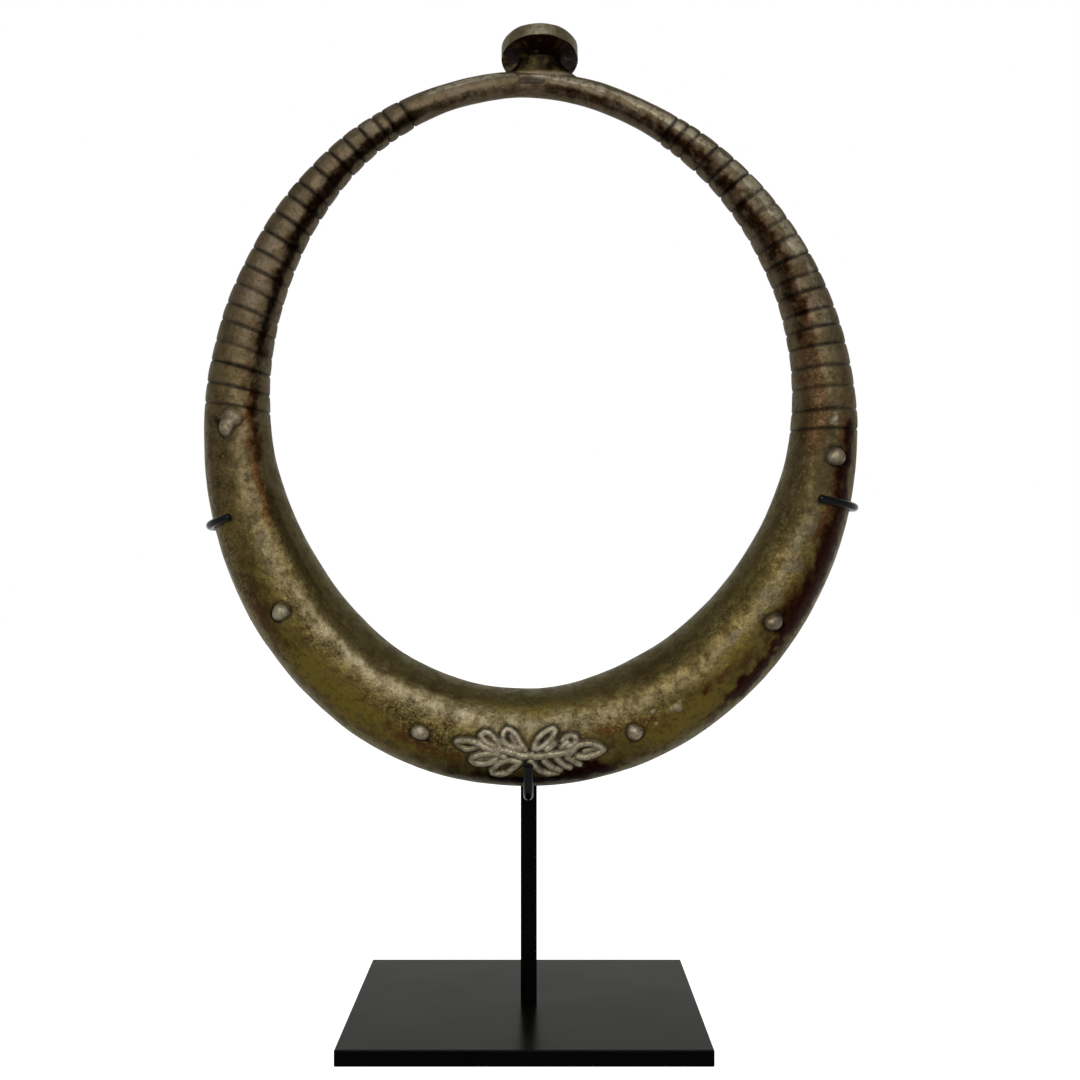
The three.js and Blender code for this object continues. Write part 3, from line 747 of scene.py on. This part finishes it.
bronze, tree, shader, place = start_material("old_bronze")
patch = grain(tree, place, 190, 7, 0.66)
fine = grain(tree, place, 460, 6, 0.7)
speckle = grain(tree, place, 1150, 4, 0.6)
flow = add_node(
    tree,
    "ShaderNodeCombineXYZ",
    {0: times(tree, mark(tree, "along"), 60), 1: times(tree, mark(tree, "around"), 1000)},
)
streak = grain(tree, flow.outputs[0], 1, 4, 0.6)
raised = mark(tree, "raised")
dirt_and_shade = mark(tree, "dirt_and_shade")
pits = fit(tree, plus(tree, mark(tree, "pits"), times(tree, patch, 0.35)), 0.3, 0.9, 0.12, 0.9)
pits = times(tree, pits, fit(tree, mark(tree, "dull_and_shade"), 0, 1, 1, 0.35))
colour = blend(tree, fit(tree, patch, 0.2, 0.8, 0, 0.8), OLIVE, DARK_OLIVE)
inner = times(tree, mark(tree, "inner"), fit(tree, patch, 0.2, 0.7, 0.9, 0.35))
colour = blend(tree, inner, colour, GREEN_GREY)
yellow = fit(tree, plus(tree, times(tree, mark(tree, "yellow"), 0.8), times(tree, patch, 0.3)), 0.35, 0.95)
colour = blend(tree, yellow, colour, YELLOW_OLIVE)
# A pale painted reflection along the outer edge
colour = blend(tree, times(tree, mark(tree, "rim_sheen"), fit(tree, patch, 0.2, 0.6, 0.3, 0.9)), colour, RIM_SHEEN_OLIVE)
armed = times(tree, mark(tree, "arms"), fit(tree, patch, 0.2, 0.7, 1, 0.7))
colour = blend(tree, armed, colour, GREY_BROWN)
# A painted highlight along the front crest, partly its wear
crest = times(tree, mark(tree, "crest"), fit(tree, patch, 0.8, 0.3, 0.3, 1))
colour = blend(tree, crest, colour, CREST_WEAR_AND_SHEEN_TAN)
rusty = fit(tree, plus(tree, times(tree, mark(tree, "rust"), 0.75), times(tree, patch, 0.35)), 0.4, 0.8)
colour = blend(tree, times(tree, rusty, fit(tree, fine, 0.1, 0.6, 0.25, 0.9)), colour, RUST)
# Wear, and the painted highlight on the top and on the upper side of the arms
worn_and_lit = fit(tree, plus(tree, times(tree, mark(tree, "wear_and_sheen"), 0.6), times(tree, patch, 0.4)), 0.5, 0.72)
worn_and_lit_colour = blend(tree, fit(tree, mark(tree, "wear_and_sheen"), 0.9, 1.3), WORN_GREY, SHEEN_PALE_GREY)
colour = blend(tree, times(tree, worn_and_lit, fit(tree, fine, 0.2, 0.8, 0.85, 0.5)), colour, worn_and_lit_colour)
specks = times(tree, fit(tree, fine, 0.5, 0.8), fit(tree, mark(tree, "crest"), 0, 1, 0.55, 0.2))
colour = blend(tree, specks, colour, DARK_OLIVE)
scratched = times(tree, fit(tree, streak, 0.72, 0.95), fit(tree, mark(tree, "crest"), 0, 1, 0.12, 0.4))
colour = blend(tree, scratched, colour, PIT_TAN)
# Painted shade, and dull patina
dulled_and_shaded = fit(tree, plus(tree, mark(tree, "dull_and_shade"), times(tree, patch, 0.4)), 0.3, 1, 0, 0.8)
colour = blend(tree, dulled_and_shaded, colour, DULL_SHADE_OLIVE)
# Stains, and painted shade on the inner half of the arms and under the button
stained_and_shaded = fit(tree, plus(tree, times(tree, mark(tree, "stain_and_shade"), 0.7), times(tree, patch, 0.3)), 0.32, 0.7)
stain_and_shade_colour = blend(tree, fit(tree, mark(tree, "arms"), 0.3, 0.8), STAIN_AND_SHADE_RED, STAIN_AND_SHADE_BROWN)
colour = blend(tree, times(tree, stained_and_shaded, fit(tree, fine, 0.4, 0.9, 0.98, 0.75)), colour, stain_and_shade_colour)
pitted = times(tree, fit(tree, speckle, 0.62, 0.84), times(tree, pits, fit(tree, stained_and_shaded, 0, 1, 1, 0.1)))
colour = blend(tree, times(tree, pitted, 0.6), colour, PIT_TAN)
dimples = times(tree, fit(tree, speckle, 0.34, 0.16), pits)
colour = blend(tree, times(tree, dimples, 0.8), colour, DIRT_AND_SHADE_BROWN)
# Dirt in the hollows, and painted shade under the button and on its neck
sunk = times(tree, dirt_and_shade, fit(tree, patch, 0.1, 0.7, 0.8, 1))
colour = blend(tree, sunk, colour, DIRT_AND_SHADE_BROWN)
# Worn bare relief, and the painted highlight on the top of the button
proud_and_lit = times(tree, raised, fit(tree, fine, 0.25, 0.8, 0.98, 0.4))
colour = blend(tree, proud_and_lit, colour, GREY_TAN)
tree.links.new(colour, shader.inputs["Base Color"])
rough = fit(tree, patch, 0.1, 0.9, 0.27, 0.42)
rough = plus(tree, rough, times(tree, plus(tree, pitted, armed), 0.12))
rough = plus(tree, rough, times(tree, fit(tree, fine, 0.3, 0.9), 0.1))
tree.links.new(rough, shader.inputs["Roughness"])
bare = times(tree, plus(tree, armed, raised), 0.75)
metallic = plus(tree, fit(tree, bare, 0, 1, 0.88, 0.5), times(tree, stained_and_shaded, 0.4))
tree.links.new(metallic, shader.inputs["Metallic"])
bumps = plus(tree, times(tree, fine, 0.3), times(tree, patch, 0.25))
bumps = plus(tree, bumps, times(tree, times(tree, speckle, pits), 0.3))
bump = add_node(tree, "ShaderNodeBump", {"Height": bumps, "Strength": 0.8, "Distance": 0.0006})
tree.links.new(bump.outputs["Normal"], shader.inputs["Normal"])
necklace.data.materials.append(bronze)

# ---------------------------------------------------------------- Base plate
# A square of 6 mm steel plate, sawn, its edges eased with a file and sprayed satin black. The stand
# rests on it, and the post is screwed to it from below.
PLATE_EASING = 0.0004


def eased_block(name, low, high, easing):
    """A block with narrow rounded edges."""
    sections = []
    levels = [(0, 1), (0.3, 0.3), (1, 0)]
    rises = [(low.z + rise * easing, inset * easing) for rise, inset in levels]
    rises += [(high.z - rise * easing, inset * easing) for rise, inset in reversed(levels)]
    for z, inset in rises:
        section = []
        for index, (side_x, side_y) in enumerate(((1, 1), (-1, 1), (-1, -1), (1, -1))):
            for step in range(4):
                way = math.radians(90 * index + 30 * step)
                centre_x = (high.x if side_x > 0 else low.x) - side_x * easing
                centre_y = (high.y if side_y > 0 else low.y) - side_y * easing
                reach = easing - inset
                section.append((centre_x + reach * math.cos(way), centre_y + reach * math.sin(way), z))
        sections.append(section)
    made, quads = lofted(sections, True)
    piece = add_piece(name, made, quads)
    for face in piece.data.polygons:
        face.use_smooth = face.area < 20 * easing * easing
    return piece


plate = eased_block("base_plate_steel", *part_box("base_plate"), PLATE_EASING)
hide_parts("base_plate")
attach(plate, "root")

satin_black, tree, shader, place = start_material("satin_black_paint")
speck = grain(tree, place, 1500, 3)
cloud = grain(tree, place, 30, 4)
tree.links.new(blend(tree, cloud, shade(2, 2, 2), shade(5, 5, 4)), shader.inputs["Base Color"])
tree.links.new(fit(tree, cloud, 0, 1, 0.2, 0.26), shader.inputs["Roughness"])
bump = add_node(tree, "ShaderNodeBump", {"Height": speck, "Strength": 0.15, "Distance": 0.00008})
tree.links.new(bump.outputs["Normal"], shader.inputs["Normal"])
shader.inputs["Specular IOR Level"].default_value = 0.036
plate.data.materials.append(satin_black)

# ---------------------------------------------------------------- Post
# A length of quarter-inch square steel bar, upright in the middle of the plate and painted with it.
POST_EASING = 0.0003
post = eased_block("post_bar", *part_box("post"), POST_EASING)
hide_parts("post")
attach(post, "root")
post.data.materials.append(satin_black)

# ---------------------------------------------------------------- Arms with the side hooks
# Two 3 mm steel wires, brazed to the sides of the post behind the ring. Each follows the back of the
# ring, turns outwards and wraps round its edge, and its rounded end lies on the front.
ARM_WIRE = 0.00294
HOOK_CORNER = 0.005
POST_X = 0.0013
SIDE_HOOKS = {
    "left_arm": {"side": -1, "edge": 73.8, "tip": 74.6, "reach": 69},
    "right_arm": {"side": 1, "edge": 77.4, "tip": 77.2, "reach": 91},
}


def add_wire(name, path, diameter, sides=24):
    """A round wire along points, with its far end rounded."""
    path = np.asarray(path)
    radius = diameter / 2
    ahead = np.gradient(path, axis=0)
    ahead /= np.linalg.norm(ahead, axis=1)[:, None]
    side = np.array([0.0, 0.0, 1.0])
    if abs(ahead[0] @ side) > 0.9:
        side = np.array([1.0, 0.0, 0.0])
    sections = []
    way = np.radians(np.arange(0, 360, 360 / sides))[:, None]
    for middle, along in zip(path, ahead):
        side = side - along * (side @ along)
        side /= np.linalg.norm(side)
        aside = np.cross(along, side)
        circle = side * np.cos(way) + aside * np.sin(way)
        sections.append(middle + radius * circle)
    for bend in np.radians((25, 50, 72, 86)):
        pushed = path[-1] - ahead[-1] * radius * (1 - math.sin(bend)) * 0.6
        sections.append(pushed + radius * math.cos(bend) * circle)
    sections[len(path) - 1] = path[-1] - ahead[-1] * radius * 0.6 + radius * circle
    made, quads = lofted(sections, True)
    return add_piece(name, made, quads)


glossy_black, tree, shader, place = start_material("glossy_black_wire")
cloud = grain(tree, place, 220, 4)
tree.links.new(blend(tree, cloud, shade(3, 3, 3), shade(9, 9, 9)), shader.inputs["Base Color"])
tree.links.new(fit(tree, cloud, 0, 1, 0.12, 0.22), shader.inputs["Roughness"])
shader.inputs["Specular IOR Level"].default_value = 0.25
bump = add_node(tree, "ShaderNodeBump", {"Height": cloud, "Strength": 0.2, "Distance": 0.0001})
tree.links.new(bump.outputs["Normal"], shader.inputs["Normal"])

for name, hook in SIDE_HOOKS.items():
    lift = 0.0002 + ARM_WIRE / 2
    corner = HOOK_CORNER / pitch_at(hook["side"] * hook["edge"])
    girth = smooth_loop(BAND_WIDTHS, hook["side"] * hook["edge"]) / 2 + lift
    along = np.linspace(4, hook["edge"] - corner, 40)
    around = np.full(40, 270.0)
    bend = np.radians(np.linspace(0, 90, 13))[1:]
    along = np.concatenate([along, hook["edge"] - corner * (1 - np.sin(bend))])
    around = np.concatenate([around, 270 + np.degrees(HOOK_CORNER * (1 - np.cos(bend)) / girth)])
    share = np.linspace(0, 1, 41)[1:]
    along = np.concatenate([along, hook["edge"] + (hook["tip"] - hook["edge"]) * share])
    around = np.concatenate([around, around[-1] + (360 + hook["reach"] - around[-1]) * share])
    path = ring_point(hook["side"] * along, around, lift)
    foot = np.array([POST_X + hook["side"] * POST_SIDE / 2, path[0][1], path[0][2]])
    arm = add_wire(name + "_wire", np.vstack([foot, path]), ARM_WIRE)
    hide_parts(name)
    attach(arm, "root")
    arm.data.materials.append(glossy_black)

# ---------------------------------------------------------------- Lower hook
# A heavier wire, brazed to the front of the post. It passes under the ring, carries its weight and
# turns up in front of it.
LOWER_WIRE = 0.0036
LOWER_BEND = 0.005
LOWER_RISE = 0.0128
front_y = float(ring_point(0, 90, 0)[1]) - STAND_GAP - LOWER_WIRE / 2
bottom_z = RING_LOWEST - STAND_GAP - LOWER_WIRE / 2
straight = front_y + LOWER_BEND + POST_SIDE / 2
path = [(POST_X, -POST_SIDE / 2 + straight * share, bottom_z) for share in (0, 0.3, 0.6, 0.9)]
for way in np.radians(np.linspace(0, 90, 13)):
    path.append((
        POST_X,
        front_y + LOWER_BEND * (1 - math.sin(way)),
        bottom_z + LOWER_BEND * (1 - math.cos(way)),
    ))
for share in (0.3, 0.6, 0.9, 1):
    path.append((POST_X, front_y, bottom_z + LOWER_BEND + (LOWER_RISE - LOWER_BEND) * share))
lower_hook = add_wire("lower_hook_wire", path, LOWER_WIRE)
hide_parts("lower_hook")
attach(lower_hook, "root")
lower_hook.data.materials.append(glossy_black)

# ---------------------------------------------------------------- Studio
# A white floor that runs out into white, a large soft light over the camera, and a pale room behind.
FLOOR_REACH = 6
floor_corners = [(x * FLOOR_REACH, y * FLOOR_REACH, 0) for x, y in ((-1, -1), (1, -1), (1, 1), (-1, 1))]
floor = add_piece("studio_floor", floor_corners, [(0, 1, 2, 3)])
floor_white, tree, shader, place = start_material("floor_white")
shader.inputs["Roughness"].default_value = 0.9
seen = tree.nodes.new("ShaderNodeLightPath").outputs["Is Camera Ray"]
far = add_node(tree, "ShaderNodeSeparateXYZ", {0: place}).outputs["Y"]
glow = fit(tree, far, -0.1, 0.6, 0.33, 0.7)
white = add_node(tree, "ShaderNodeMix", {0: seen, 2: glow, 3: 0.95}, data_type="FLOAT").outputs[0]
shader.inputs["Emission Color"].default_value = (1, 1, 1, 1)
tree.links.new(white, shader.inputs["Emission Strength"])
tree.links.new(blend(tree, seen, (0.08, 0.08, 0.08, 1), (0.8, 0.8, 0.8, 1)), shader.inputs["Base Color"])
floor.data.materials.append(floor_white)

world = bpy.data.worlds.new("studio_world")
bpy.context.scene.world = world
world.use_nodes = True
tree = world.node_tree
backdrop = tree.nodes["Background"]
way = add_node(tree, "ShaderNodeSeparateXYZ", {0: tree.nodes.new("ShaderNodeTexCoord").outputs["Generated"]})
behind = fit(tree, way.outputs["Y"], 0.0, 0.75, 0.22, 0.6)
seen = tree.nodes.new("ShaderNodeLightPath").outputs["Is Camera Ray"]
strength = add_node(tree, "ShaderNodeMix", {0: seen, 2: behind, 3: 1.0}, data_type="FLOAT").outputs[0]
tree.links.new(blend(tree, seen, (1, 0.99, 0.93, 1), (1, 1, 1, 1)), backdrop.inputs["Color"])
tree.links.new(strength, backdrop.inputs["Strength"])


def add_light(name, place, aim, size, watts):
    """A soft oblong light, aimed at a point."""
    light = bpy.data.lights.new(name, "AREA")
    light.shape = "RECTANGLE"
    light.size, light.size_y = size
    light.energy = watts
    holder = bpy.data.objects.new(name, light)
    bpy.context.scene.collection.objects.link(holder)
    holder.location = place
    holder.rotation_euler = (Vector(aim) - Vector(place)).to_track_quat("-Z", "Y").to_euler()
    return holder


add_light("key_light", (0, -1.17, 0.76), (0, 0, 0.2), (1.1, 0.7), 9.5)

# The camera stands level in front. Its focal length and shift are in pixels of the square photograph.
PHOTO_SIDE = 1080
FOCAL_PIXELS = 1594.6
SHIFT_PIXELS = (3.2, 39.1)
SENSOR_WIDTH = 36
camera_data = bpy.data.cameras.new("camera")
camera = bpy.data.objects.new("camera", camera_data)
bpy.context.scene.collection.objects.link(camera)
camera.location = (0.00448, -0.6324, 0.1729)
camera.rotation_euler = (math.pi / 2, 0, 0)
camera_data.sensor_width = SENSOR_WIDTH
camera_data.lens = FOCAL_PIXELS / PHOTO_SIDE * SENSOR_WIDTH
camera_data.shift_x = SHIFT_PIXELS[0] / PHOTO_SIDE
camera_data.shift_y = SHIFT_PIXELS[1] / PHOTO_SIDE
bpy.context.scene.camera = camera
bpy.context.scene.view_settings.view_transform = "Standard"
